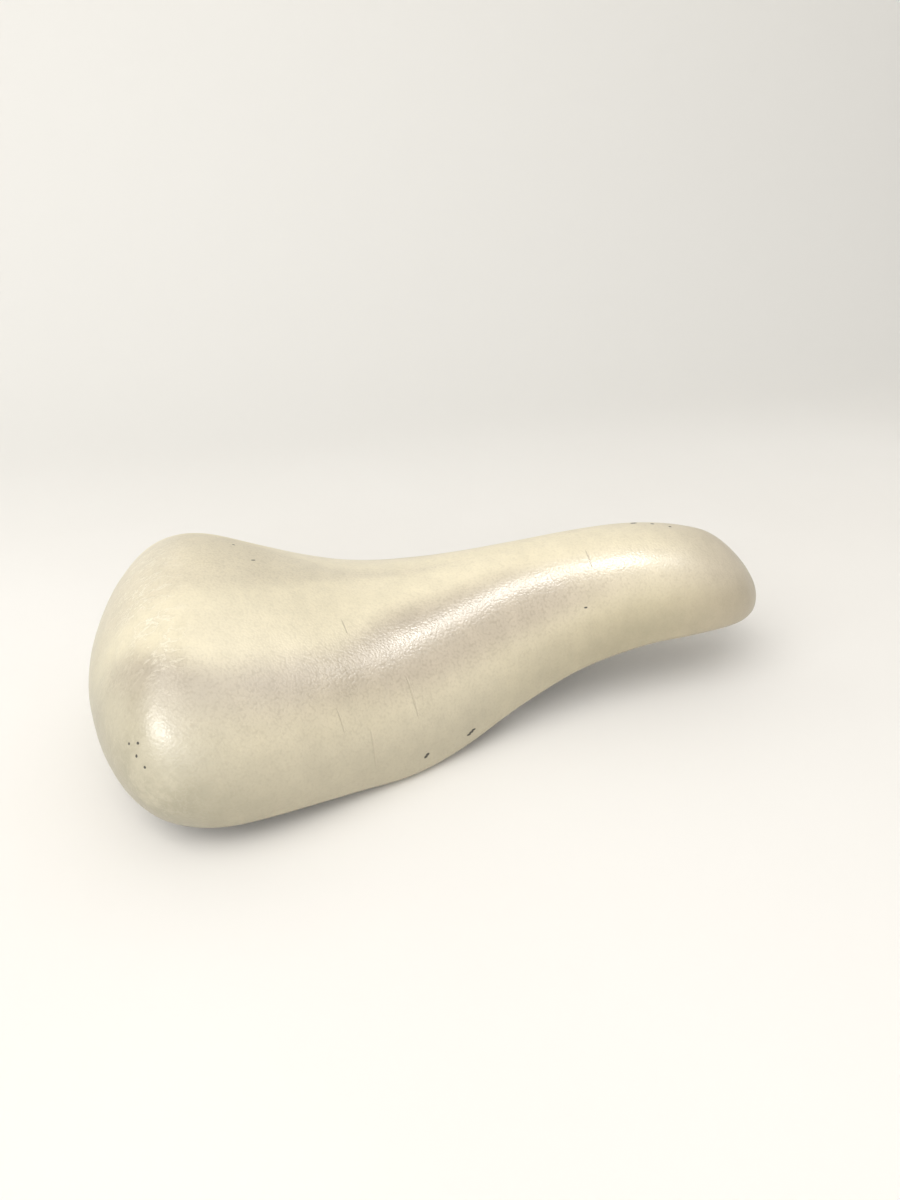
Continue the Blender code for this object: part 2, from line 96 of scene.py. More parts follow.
# ------------------------------------------------ the vinyl's relief and its cloth simulation
SWELL = 0.22 * MM
SWELL_SIZE = 34 * MM
FINER_SWELL = 2.5  # times smaller, and half as high
CREASE = 0.22 * MM
CREASE_SIZE = 3.2 * MM
CREASE_LENGTHENING = 4
CREASE_SPAN = (104 * MM, 126 * MM)  # behind the middle of the saddle
CREASE_TOP = (0.30, 0.42)  # shares of a rib, from the crest down
CREASE_FOOT = (0.62, 0.74)
PUCKER = 0.16 * MM
PUCKER_BAND = (0.90, 1.0)
PUCKER_DRIFT = 2.5
PUCKER_DRIFT_SIZE = 40 * MM
PUCKER_FADE = 0.35
CREST_CALM = 0.08
CLOTH_RING_STEP = 3
CLOTH_RIB_STEP = 3
CLOTH_SLACK = 1.2 * MM
CLOTH_PRESSURE = 4.0
CLOTH_FRAMES = 20
CLOTH_CAP = 0.8 * MM
CLOTH_QUALITY = 6
CLOTH_MASS = 0.4
CLOTH_STRETCH = 40
CLOTH_BENDING = 8

# ------------------------------------------------ where the cover is soiled
SIT = (  # station, half width of the pale area
    (-136, 30), (-117, 40), (-101, 50), (-72, 48), (-53, 40),
    (-33, 26), (-12, 18), (9, 14), (60, 15), (136, 15),
)
STREAK = (  # station, half width of the grey streak along the middle
    (-136, 22), (-93, 25), (-77, 21), (-58, 12), (-40, 5), (-12, 2), (14, -6), (136, -10),
)

# ------------------------------------------------ shell, rails and fittings, as in the frame
SHELL_LIP = 1.2 * MM
LIP_EDGE = (0.0, 0.06, 0.25, 0.75, 0.94, 1.0)
STAPLES = 22
STAPLE_WIDTH = 8 * MM
STAPLE_WIRE = (1.0 * MM, 0.6 * MM)
STAPLE_BITE = 1.5 * MM
STAPLE_BEND = 0.5 * MM
STAPLE_BEND_STEPS = 5
WIRE_ROUNDING = 0.18 * MM
RAIL = 7 * MM
RAIL_SIDES = 48
RAIL_SPACING = 44 * MM
RAIL_END = 0.8 * MM
END_TURNS = [math.radians(a) for a in (90, 75, 60, 45, 30, 15, 0)]
CLAMP_REAR = -65 * MM
CLAMP_FRONT = 9 * MM
SEAT_Z = 41 * MM
REAR_TIP = (-113 * MM, 36 * MM)
REAR_KNEE = (-84 * MM, 29 * MM)
NOSE_KNEE = (76 * MM, 10.5 * MM)
NOSE_TIP = (101 * MM, 10.5 * MM)
BEND_RADIUS = 18 * MM
BEND_STEPS = 20
STRAP = 1.8 * MM
STRAP_WIDTH = 13 * MM
STRAP_INSET = 9.5 * MM
STRAP_ROUNDING = 0.35 * MM
EAR = 9.5 * MM
HUMP_STEPS = 20
REAR_PAD = (22 * MM, 35 * MM)
NOSE_PAD = (24 * MM, 31 * MM)
PAD_TOP = 70 * MM
SCREW_RADIUS = 2 * MM
SCREW_LENGTH = 7 * MM
THREAD_PITCH = 0.8 * MM
THREAD_ROOT = 0.86  # share of the screw's radius
POINT = 1.5 * MM
POINT_SHARES = (0.4, 0.8)
HEAD_RADIUS = 3.8 * MM
HEAD_HEIGHT = 2.2 * MM
HEAD_CHAMFER = (0.96, 0.15)  # share of the radius at the strap, share of the height
HEAD_WALL = 0.3  # share of the head's height
HEAD_FLAT = 0.55  # share of the head's radius
HEAD_STEPS = 8
RECESS_ARM = 2.0 * MM
RECESS_HALF = 0.5 * MM
RECESS_DEPTH = 1.3 * MM
RECESS_WIDENING = (1.15, 0.65)  # at the mouth and at the bottom
RECESS_START = 0.2 * MM
HOLE_MARGIN = 1 * MM
ROUND = 36

# ------------------------------------------------ studio and camera
FLOOR_SIZE = 6.0
WALL_Y = 0.9
WALL_HEIGHT = 2.5
SWEEP_RADIUS = 0.5
SWEEP_STEPS = 24
PAPER_LOW = (0.885, 0.87, 0.84)
PAPER_HIGH = (0.925, 0.915, 0.89)
# painted shade: the paper made darker well behind the saddle
PAPER_BACK_SHADE = (0.80, 0.795, 0.77)
PAPER_SHADE_SPAN = (0.05, 0.55)  # how far behind the saddle the paper turns to that colour
CLOUD = 0.35  # size of the paper's faint clouds
LIGHTS = (  # name, place, aim, size, watts, colour, lights matt surfaces too
    ("strip", (0.45, -0.28, 1.25), (0.45, 0, 0), (0.27, 0.08), 6.5, (1, 0.985, 0.96), False),
    ("strip_far", (0.90, -0.32, 1.2), (0.90, 0, 0), (0.44, 0.14), 2.4, (1, 0.985, 0.96), False),
    ("corner", (-1.22, -0.98, 1.06), (0, 0, 0), (0.9, 0.16), 14, (1, 0.985, 0.96), False),
    ("front", (-0.7, -2.0, 0.7), (0, 0, 0.02), (2.4, 0.9), 14, (1, 0.98, 0.95), True),
    ("window", (-0.9, -0.8, 1.5), (0, 0, 0), (2.2, 1.6), 25, (1, 0.975, 0.94), True),
)
SKY = (1.0, 0.98, 0.95)
SKY_STRENGTH = 0.51
AZIMUTH, ELEVATION, ROLL = math.radians(-15.2), math.radians(26.1), math.radians(-0.9)
DISTANCE = 355.4 * MM
AIM = Vector((0.6 * MM, 2.8 * MM, 40.8 * MM))
LENS = 26.7


# ------------------------------------------------------------------- curves
def spline(knots, values, level_ends=False):
    """A cubic spline through the values. Its ends are level, or free to run on straight."""
    knots, values = np.array(knots, float), np.array(values, float)
    count = len(knots)
    gap = np.diff(knots)
    rise = np.diff(values) / gap
    system = np.eye(count)
    target = np.zeros(count)
    for i in range(1, count - 1):
        system[i, i - 1 : i + 2] = gap[i], 2 * (gap[i - 1] + gap[i]), gap[i - 1]
        target[i] = 3 * (gap[i] * rise[i - 1] + gap[i - 1] * rise[i])
    if not level_ends:
        system[0, 0:2] = 2, 1
        system[-1, -2:] = 1, 2
        target[0], target[-1] = 3 * rise[0], 3 * rise[-1]
    slope = np.linalg.solve(system, target)

    def at(x):
        i = np.clip(np.searchsorted(knots, x, side="right") - 1, 0, count - 2)
        s = (x - knots[i]) / gap[i]
        start = values[i] * (1 + 2 * s) * (1 - s) ** 2 + slope[i] * gap[i] * s * (1 - s) ** 2
        end = values[i + 1] * (3 - 2 * s) * s**2 - slope[i + 1] * gap[i] * s**2 * (1 - s)
        return start + end

    return at


def along(rows, column=1, unit=MM):
    """A column of a station table as a smooth function of X, in metres."""
    stations = [row[0] * MM for row in rows]
    return spline(stations, [row[column] * unit for row in rows])


def knots_of(rows):
    """One knot for each outline point, spaced by the square root of the distance between points."""
    points = np.array(rows, float) * MM
    steps = np.sqrt(np.linalg.norm(np.diff(points, axis=0), axis=1))
    return np.concatenate([[0], np.cumsum(steps)])


KNOTS = knots_of(OUTLINE)
OUTLINE_X = spline(KNOTS, [row[0] * MM for row in OUTLINE], level_ends=True)
OUTLINE_W = spline(KNOTS, [row[1] * MM for row in OUTLINE])
TAIL_X, NOSE_X = OUTLINE_X(0), OUTLINE_X(KNOTS[-1])
CREST_Z = along(CREST)
SIT_EDGE = along(SIT)
STREAK_EDGE = along(STREAK)
RIM_Z = along(RIM)
FOAM_Z = along(FOAM_TOP)
HANDLE_1 = along(RIB, 1, 1)
HANDLE_2 = along(RIB, 2, 1)
HANDLE_2_DROP = along(RIB, 3, 1)
RIM_REACH = along(RIB, 4, 1)


def outline(v):
    """The plan outline at ring position v: 0 at the tail, positive on the left, up to the nose."""
    lap = 2 * KNOTS[-1]
    v = (v + KNOTS[-1]) % lap - KNOTS[-1]
    return OUTLINE_X(np.abs(v)), np.sign(v) * OUTLINE_W(np.abs(v))


def skin(v, t):
    """The cover's outer surface at ring position v, from the crest (t = 0) to the fold (t = 1)."""
    rim_x, rim_y = outline(v)
    foot = SPINE_START + (SPINE_END - SPINE_START) * (rim_x - TAIL_X) / (NOSE_X - TAIL_X)
    near, mid, far = 3 * t * (1 - t) ** 2, 3 * t**2 * (1 - t), t**3
    reach = near * HANDLE_1(rim_x) + mid * HANDLE_2(rim_x) + far * RIM_REACH(rim_x)
    drop = mid * HANDLE_2_DROP(rim_x) + far
    x = foot + (rim_x - foot) * reach
    z = CREST_Z(x) * (1 - drop) + (RIM_Z(rim_x) + FOLD_RADIUS) * drop
    return np.stack([x, rim_y * reach, z], axis=-1)


def frame_at(v, t):
    """Unit outward direction and unit downhill direction of the skin."""
    lean = np.minimum(t / LEAN, 1)[..., None]
    t = np.maximum(t, 2 * EPS)
    across = skin(v + EPS, t) - skin(v - EPS, t)
    down = skin(v, t + EPS) - skin(v, t - EPS)
    normal = np.cross(across, down)
    normal /= np.linalg.norm(normal, axis=-1, keepdims=True)
    normal = normal * lean + np.array([0, 0, 1]) * (1 - lean)
    normal /= np.linalg.norm(normal, axis=-1, keepdims=True)
    down /= np.linalg.norm(down, axis=-1, keepdims=True)
    return normal, down


def foam_depth(v, t):
    top = FOAM_Z(skin(v, t)[..., 0])
    return FOAM_EDGE + (top - FOAM_EDGE) * (1 - t**2) ** 1.5


def layer(v, t, solid, foam_share=1.0):
    """A ring at a depth below the skin: the pieces and gaps above it, and a share of the foam."""
    depth = solid + foam_share * foam_depth(v, t)
    normal, _ = frame_at(v, t)
    return skin(v, t) - normal * depth[..., None]


def ring_positions():
    half = [
        a + (b - a) * i / RING_STEPS
        for a, b in zip(KNOTS[:-1], KNOTS[1:])
        for i in range(RING_STEPS)
    ]
    half.append(KNOTS[-1])
    return np.array(half + [-v for v in reversed(half[1:-1])])


def hem_position(v, share):
    step = skin(v, np.ones_like(v)) - skin(v, np.ones_like(v) - EPS)
    height = HEM * EPS / np.linalg.norm(step, axis=-1)
    return 1 - share * np.minimum(height, HEM_LIMIT)


def fold(v, radius):
    """Rings round the cover's turned edge, from outside to inside."""
    t = np.ones_like(v)
    normal, down = frame_at(v, t)
    centre = skin(v, t) - normal * FOLD_RADIUS
    angles = [math.pi * i / FOLD_STEPS for i in range(1, FOLD_STEPS)]
    return [centre + radius * (normal * math.cos(a) + down * math.sin(a)) for a in angles]


# ------------------------------------------------------------------- meshes
def linked(name, bm, smooth_below=None):
    """Links a mesh into the scene as one object, shaded smooth, or only below an angle."""
    bmesh.ops.recalc_face_normals(bm, faces=bm.faces)
    mesh = bpy.data.meshes.new(name)
    bm.to_mesh(mesh)
    bm.free()
    mesh.shade_smooth()
    if smooth_below:
        mesh.set_sharp_from_angle(angle=smooth_below)
    made = bpy.data.objects.new(name, mesh)
    bpy.context.scene.collection.objects.link(made)
    return made


def bridge(bm, low, high):
    """Faces between two closed loops of vertices."""
    count = len(low)
    for i in range(count):
        j = (i + 1) % count
        bm.faces.new((low[i], high[i], high[j], low[j]))


def shell_mesh(rings, marks=None):
    """A closed mesh through rings whose first and last ring close on the mid plane.

    The marks are numbers for each point, which the materials read as attributes of those names.
    """
    bm = bmesh.new()
    layers = {key: bm.verts.layers.float.new(key) for key in (marks or {})}
    loops = [[bm.verts.new(p) for p in ring] for ring in rings]
    for key, rows in (marks or {}).items():
        for loop, row in zip(loops, rows):
            for vert, value in zip(loop, row):
                vert[layers[key]] = value
    for low, high in zip(loops[:-1], loops[1:]):
        bridge(bm, low, high)
    bmesh.ops.remove_doubles(bm, verts=bm.verts, dist=WELD)
    return bm


def loft(rings):
    """A mesh through closed rings of the same number of points, with a flat face at each end."""
    bm = bmesh.new()
    loops = [[bm.verts.new(p) for p in ring] for ring in rings]
    for low, high in zip(loops[:-1], loops[1:]):
        bridge(bm, low, high)
    bm.faces.new(loops[0])
    bm.faces.new(reversed(loops[-1]))
    return bm


def settled(made):
    """Turns an object's modifiers into its mesh."""
    graph = bpy.context.evaluated_depsgraph_get()
    mesh = bpy.data.meshes.new_from_object(made.evaluated_get(graph))
    old = made.data
    made.modifiers.clear()
    made.data = mesh
    mesh.name = made.name
    bpy.data.meshes.remove(old)


def combined(target, tool, operation):
    """Cuts a tool out of a mesh, or joins it on, and removes the tool."""
    step = target.modifiers.new("combine", "BOOLEAN")
    step.operation = operation
    step.object = tool
    settled(target)
    bpy.data.objects.remove(tool)


def rounded_edges(made, width, segments=3, angle=30):
    """Rounds a mesh's sharp edges."""
    step = made.modifiers.new("round", "BEVEL")
    step.width = width
    step.segments = segments
    step.limit_method = "ANGLE"
    step.angle_limit = math.radians(angle)
    step.harden_normals = False
    settled(made)
    made.data.shade_smooth()
    made.data.set_sharp_from_angle(angle=SHARP)


# -------------------------------------------------------------- cover and foam
def simulated_swell(v_all, t_all):
    """How far the stretched vinyl swells between its foam and its hem, from a cloth simulation.

    A thin copy of the cover's outside is held along its rim, pressed outwards by the foam and relaxed
    for some frames. The answer is a number for every fine ring and rib position, in metres.
    """
    ring, rib = v_all[::CLOTH_RING_STEP], t_all[::CLOTH_RIB_STEP]
    v, t = np.meshgrid(ring, rib)
    start = skin(v, t)
    normal, _ = frame_at(v, t)
    relaxed = cloth_trial(start - normal * CLOTH_SLACK * np.sin(np.pi * t)[..., None])
    out = ((relaxed - start) * normal).sum(axis=-1)
    out = np.clip(out - out.mean(), -CLOTH_CAP, CLOTH_CAP) * np.sin(np.pi * t)
    lap = 2 * KNOTS[-1]
    around = np.concatenate([ring % lap, [lap]])
    order = np.argsort(around)
    wrapped = np.concatenate([out, out[:, :1]], axis=1)[:, order]
    finer = np.array([np.interp(v_all % lap, around[order], row) for row in wrapped])
    return np.array([np.interp(t_all, rib, column) for column in finer.T]).T


def cloth_trial(points):
    """Where the rows of points come to rest as a cloth held along its first and last row."""
    bm = bmesh.new()
    loops = [[bm.verts.new(p) for p in row] for row in points]
    for low, high in zip(loops[:-1], loops[1:]):
        bridge(bm, low, high)
    made = linked("cloth_trial", bm)
    rows, count = points.shape[:2]
    group = made.vertex_groups.new(name="held")
    group.add(list(range(count)), 1.0, "REPLACE")
    group.add(list(range((rows - 1) * count, rows * count)), 1.0, "REPLACE")
    cloth = made.modifiers.new("cloth", "CLOTH")
    cloth.settings.quality = CLOTH_QUALITY
    cloth.settings.mass = CLOTH_MASS
    cloth.settings.tension_stiffness = CLOTH_STRETCH
    cloth.settings.compression_stiffness = CLOTH_STRETCH
    cloth.settings.bending_stiffness = CLOTH_BENDING
    cloth.settings.vertex_group_mass = "held"
    cloth.settings.use_pressure = True
    cloth.settings.uniform_pressure_force = CLOTH_PRESSURE
    cloth.settings.effector_weights.gravity = 0
    cloth.point_cache.frame_start = 1
    cloth.point_cache.frame_end = CLOTH_FRAMES
    for step in range(1, CLOTH_FRAMES + 1):
        bpy.context.scene.frame_set(step)
    graph = bpy.context.evaluated_depsgraph_get()
    settled_mesh = made.evaluated_get(graph).to_mesh()
    moved = np.array([p.co for p in settled_mesh.vertices]).reshape(points.shape)
    bpy.context.scene.frame_set(1)
    bpy.data.objects.remove(made)
    return moved


def noise_field(points, size, seed):
    """Smooth noise at each point, from -1 to 1, with bumps of about the given size."""
    flat = points.reshape(-1, 3)
    values = [noise.noise(Vector(p) / size + Vector((seed, 0, 0))) for p in flat]
    return np.array(values).reshape(points.shape[:-1])


def relief(points, v, t):
    """How far the finished vinyl stands off its smooth shape: swells, tail creases and hem puckers."""
    swell = SWELL * noise_field(points, SWELL_SIZE, 3)
    swell += SWELL / 2 * noise_field(points, SWELL_SIZE / FINER_SWELL, 9)
    behind = smooth(-points[..., 0], *CREASE_SPAN)
    band = smooth(t, *CREASE_TOP) * (1 - smooth(t, *CREASE_FOOT))
    stretched = points * np.array([1.0, 1 / CREASE_LENGTHENING, 1.0])
    creases = np.abs(noise_field(stretched, CREASE_SIZE, 17))
    hem = smooth(t, *PUCKER_BAND)
    drift = PUCKER_DRIFT * noise_field(points, PUCKER_DRIFT_SIZE, 5)
    pull = np.cos(v / KNOTS[-1] * math.pi * STAPLES + drift)
    return swell - CREASE * creases * band * behind + PUCKER * pull * hem * (1 - PUCKER_FADE * hem)


def smooth(value, start, end):
    """Eases from 0 to 1 as the value goes from start to end."""
    share = np.clip((value - start) / (end - start), 0, 1)
    return share * share * (3 - 2 * share)


def cover_piece():
    """The vinyl cover: its outside, the turned edge, the hem inside the shell and its underside."""
    v = ring_positions()
    one = np.ones_like(v)
    ribs = np.array([i / RIB_STEPS for i in range(RIB_STEPS + 1)])
    swell = simulated_swell(v, ribs)
    rings, rib_mark, sit_mark, streak_mark = [], [], [], []
    for t, extra in zip(ribs, swell):
        points = skin(v, one * t)
        normal, _ = frame_at(v, one * t)
        rise = relief(points, v, one * t) * min(t / CREST_CALM, 1) + extra
        rings.append(points + normal * rise[..., None])
        rib_mark.append(one * t)
    edge = rise[..., None] * frame_at(v, one)[0]
    rings += [ring + edge for ring in fold(v, FOLD_RADIUS)]
    hem = [hem_position(v, i / HEM_STEPS) for i in range(HEM_STEPS + 1)]
    rings += [layer(v, t, HEM_DEPTH + COVER) + edge for t in hem]
    rings += [layer(v, t, HEM_DEPTH) for t in reversed(hem)]
    rings += list(reversed(fold(v, FOLD_RADIUS - COVER)))
    rings += [layer(v, one * (1 - i / INNER_STEPS), COVER, 0) for i in range(INNER_STEPS + 1)]
    rib_mark += [one * PAST_RIM] * (len(rings) - len(rib_mark))
    for ring in rings:
        side = np.abs(ring[:, 1])
        sit_mark.append((side - SIT_EDGE(ring[:, 0])) / MM)
        streak_mark.append((side - STREAK_EDGE(ring[:, 0])) / MM)
    marks = {"rib": rib_mark, "sit": sit_mark, "streak": streak_mark}
    return linked("vinyl_cover", shell_mesh(rings, marks))


def foam_piece():
    v = ring_positions()
    one = np.ones_like(v)
    steps = [i / RIB_STEPS for i in range(0, RIB_STEPS + 1, 2)]
    rings = [layer(v, one * t, COVER + GAP, 0) for t in steps]
    rings += [layer(v, one * t, COVER + GAP) for t in reversed(steps)]
    return linked("foam_core", shell_mesh(rings))


# ------------------------------------------------------------------- the shell
def pad_block(name, place, size, height):
    """A mounting pad's block, with its underside on the place's plane."""
    bm = bmesh.new()
    bmesh.ops.create_cube(bm, size=1)
    bmesh.ops.scale(bm, vec=(*size, height), verts=bm.verts)
    bmesh.ops.translate(bm, vec=(0, 0, height / 2), verts=bm.verts)
    made = linked(name, bm)
    made.matrix_world = place
    return made


def shell_piece():
    """The moulded shell with its three mounting pads."""
    v = ring_positions()[::2]
    one = np.ones_like(v)
    depth = COVER + 2 * GAP
    steps = [i / RIB_STEPS for i in range(0, RIB_STEPS + 1, 2)]
    lip = frame_at(v, one)[1] * SHELL_LIP
    rings = [layer(v, one * t, depth) for t in steps]
    rings += [layer(v, one, depth + share * SHELL) + lip for share in LIP_EDGE]
    rings += [layer(v, one * t, depth + SHELL) for t in reversed(steps)]
    made = linked("nylon_shell", shell_mesh(rings), SHARP)
    core_rings = [layer(v, one * t, depth + SHELL / 2) for t in steps]
    core_rings += [core_rings[-1] * (1, 0, 1)]
    for number, (place, size) in enumerate(pad_places()):
        pad = pad_block(f"pad_{number}", place, size, PAD_TOP - SEAT_Z)
        combined(pad, linked("core", shell_mesh(core_rings)), "INTERSECT")
        combined(made, pad, "UNION")
    made.data.shade_smooth()
    made.data.set_sharp_from_angle(angle=SHARP)
    return made


def strap_place(tip, knee):
    """A frame on the pads' plane, over the middle of a strap, with X along the rail's end."""
    tip, knee = Vector((*tip, SEAT_Z)), Vector((*knee, SEAT_Z))
    run = (knee - tip).normalized()
    turn = Matrix.Rotation(math.atan2(run.y, run.x), 4, "Z")
    return Matrix.Translation(tip + run * STRAP_INSET) @ turn


def side_place(side):
    return strap_place((REAR_TIP[0], side * REAR_TIP[1]), (REAR_KNEE[0], side * REAR_KNEE[1]))


def nose_place():
    return strap_place((NOSE_TIP[0], 0), (NOSE_KNEE[0], 0))


def pad_places():
    return ((side_place(1), REAR_PAD), (side_place(-1), REAR_PAD), (nose_place(), NOSE_PAD))


# ------------------------------------------------------------ rails and fittings
def bent_path(corners, radius, steps):
    """A path through the corners with each inner corner rounded to the radius."""
    corners = [Vector(c) for c in corners]
    path = [corners[0]]
    for before, corner, after in zip(corners[:-2], corners[1:-1], corners[2:]):
        a, b = (before - corner).normalized(), (after - corner).normalized()
        half = a.angle(b) / 2
        middle = corner + (a + b).normalized() * (radius / math.sin(half))
        reach = radius / math.tan(half)
        start, end = corner + a * reach - middle, corner + b * reach - middle
        path += [middle + start.slerp(end, i / steps) * radius for i in range(steps + 1)]
    path.append(corners[-1])
    return path


def sweep(path, section, up, ends=((1, 0),)):
    """A bar along a path. The section's points are (sideways, upwards).

    The ends are rounded through the pairs (share of the section, distance from the tip).
    """
    steps = [(b - a).normalized() for a, b in zip(path[:-1], path[1:])]
    before, after = [steps[0]] + steps, steps + [steps[-1]]
    rings = []
    for point, a, b in zip(path, before, after):
        tangent = (a + b).normalized()
        side = tangent.cross(up).normalized()
        top = side.cross(tangent)
        rings.append([point + side * s + top * h for s, h in section])

    def capped(ring, centre, inwards):
        return [[centre + (p - centre) * share + inwards * back for p in ring] for share, back in ends]

    first = capped(rings[0], path[0], steps[0])
    last = capped(rings[-1], path[-1], -steps[-1])
    return loft(first + rings[1:-1] + last[::-1])


def circle(radius, sides):
    turns = [2 * math.pi * (i + 0.5) / sides for i in range(sides)]
    return [(radius * math.cos(a), radius * math.sin(a)) for a in turns]


def rail_piece(word, side):
    """A bent 7 mm bar with rounded ends."""
    high = SEAT_Z - GAP - RAIL / 2
    low = RAIL / 2
    plan = (
        (*REAR_TIP, high),
        (*REAR_KNEE, high),
        (CLAMP_REAR, RAIL_SPACING / 2, low),
        (CLAMP_FRONT, RAIL_SPACING / 2, low),
        (*NOSE_KNEE, high),
        (*NOSE_TIP, high),
    )
    path = bent_path([(x, side * y, z) for x, y, z in plan], BEND_RADIUS, BEND_STEPS)
    shrink = RAIL_END / (RAIL / 2)
    ends = [(1 - (1 - math.cos(a)) * shrink, RAIL_END * (1 - math.sin(a))) for a in reversed(END_TURNS)]
    bar = sweep(path, circle(RAIL / 2, RAIL_SIDES), Vector((0, 0, 1)), ends)
    return linked(f"bent_rail_{word}", bar, SHARP)


def hump(centre, radius):
    """Points of a half circle that hangs below the strap, round one rail."""
    angles = [math.pi + math.pi * i / HUMP_STEPS for i in range(HUMP_STEPS + 1)]
    arc = [(centre + radius * math.cos(a), radius * math.sin(a) - RAIL / 2) for a in angles]
    return [(centre - radius, 0), *arc, (centre + radius, 0)]


def strap_piece(name, place, rails, ear, screws):
    """A pressed strap with a hump for each rail, rounded edges and a hole for each screw."""
    inner, outer = [], []
    for centre in rails:
        inner += hump(centre, RAIL / 2 + GAP)
        outer += [(y, min(z, -STRAP)) for y, z in hump(centre, RAIL / 2 + GAP + STRAP)]
    if ear:
        reach = rails[-1] + RAIL / 2 + GAP + STRAP + ear
        inner = [(-reach, 0)] + inner + [(reach, 0)]
        outer = [(-reach, -STRAP)] + outer + [(reach, -STRAP)]
    else:
        outer[0] = (outer[0][0], 0)
        outer[-1] = (outer[-1][0], 0)
    profile = inner + outer[::-1]
    half = STRAP_WIDTH / 2
    made = linked(name, loft([[(x, y, z) for y, z in profile] for x in (-half, half)]))
    bore = circle(SCREW_RADIUS + GAP, ROUND)
    for offset in screws:
        rings = [[(x, y + offset, z) for x, y in bore] for z in (-3 * STRAP, STRAP)]
        combined(made, linked("bore", loft(rings)), "DIFFERENCE")
    rounded_edges(made, STRAP_ROUNDING)
    made.matrix_world = place @ Matrix.Translation((0, 0, -GAP))
    return made


def screw_piece(name, place):
    """A pan head screw with a domed head, a tapered cross recess and a threaded shank."""
    length = SCREW_LENGTH - HOLE_MARGIN
    thread = length - POINT
    profile = [(SCREW_RADIUS * POINT_SHARES[0], length), (SCREW_RADIUS * POINT_SHARES[1], thread)]
    turns = int(thread / THREAD_PITCH)
    for i in range(2 * turns, 0, -1):
        profile.append((SCREW_RADIUS * (1 if i % 2 else THREAD_ROOT), thread * i / (2 * turns + 1)))
    narrow, low = HEAD_CHAMFER
    profile += [(SCREW_RADIUS, 0), (HEAD_RADIUS * narrow, 0), (HEAD_RADIUS, -low * HEAD_HEIGHT)]
    for i in range(HEAD_STEPS + 1):
        a = math.pi / 2 * i / HEAD_STEPS
        wide = HEAD_FLAT + (1 - HEAD_FLAT) * math.cos(a)
        deep = HEAD_WALL + (1 - HEAD_WALL) * math.sin(a)
        profile.append((HEAD_RADIUS * wide, -HEAD_HEIGHT * deep))
    rings = [[(x, y, z) for x, y in circle(r, ROUND)] for r, z in profile]
    made = linked(name, loft(rings))
    taper = list(zip(RECESS_WIDENING, (-HEAD_HEIGHT - RECESS_START, -HEAD_HEIGHT + RECESS_DEPTH)))
    for arm in ((RECESS_ARM, RECESS_HALF), (RECESS_HALF, RECESS_ARM)):
        corners = [(-arm[0], -arm[1]), (arm[0], -arm[1]), (arm[0], arm[1]), (-arm[0], arm[1])]
        rings = [[(x * share, y * share, z) for x, y in corners] for share, z in taper]
        combined(made, linked("slot", loft(rings)), "DIFFERENCE")
    made.data.shade_smooth()
    made.data.set_sharp_from_angle(angle=SHARP)
    made.matrix_world = place @ Matrix.Translation((0, 0, -STRAP - 2 * GAP))
    return made


def staple_places():
    """A frame for each staple: X along its crown, Z out of the saddle, origin on the hem."""
    v = ring_positions()
    t = hem_position(v, 0.5)
    hem = layer(v, t, HEM_DEPTH + COVER)
    hem, out = np.vstack([hem, hem[:1]]), frame_at(v, t)[0]
    out = np.vstack([out, out[:1]])
    run = np.concatenate([[0], np.cumsum(np.linalg.norm(np.diff(hem, axis=0), axis=1))])

    def between(rows, distance):
        return Vector([np.interp(distance, run, rows[:, axis]) for axis in range(3)])

    places = []
    for i in range(STAPLES):
        middle = run[-1] * (i + 0.5) / STAPLES
        start, end = (between(hem, middle + side * STAPLE_WIDTH / 2) for side in (-1, 1))
        crown = (end - start).normalized()
        normal = between(out, middle)
        normal = (normal - crown * normal.dot(crown)).normalized()
        turn = Matrix((crown, normal.cross(crown), normal)).transposed().to_4x4()
        places.append(Matrix.Translation((start + end) / 2) @ turn)
    return places


def staple_piece(name, place):
    """A flat wire bent twice, with rounded bends."""
    wide, thick = STAPLE_WIRE
    leg = STAPLE_WIDTH / 2 - thick / 2
    back = -GAP - thick / 2
    tip = COVER + GAP + STAPLE_BITE
    corners = [(-leg, 0, tip), (-leg, 0, back), (leg, 0, back), (leg, 0, tip)]
    path = bent_path(corners, STAPLE_BEND, STAPLE_BEND_STEPS)
    section = []
    for x, y, start in ((1, 1, 0), (-1, 1, 1), (-1, -1, 2), (1, -1, 3)):
        for i in range(4):
            a = math.pi / 2 * (start + i / 3)
            s = x * (thick / 2 - WIRE_ROUNDING) + WIRE_ROUNDING * math.cos(a)
            h = y * (wide / 2 - WIRE_ROUNDING) + WIRE_ROUNDING * math.sin(a)
            section.append((s, h))
    made = linked(name, sweep(path, section, Vector((0, 1, 0))), SHARP)
    made.matrix_world = place
    return made


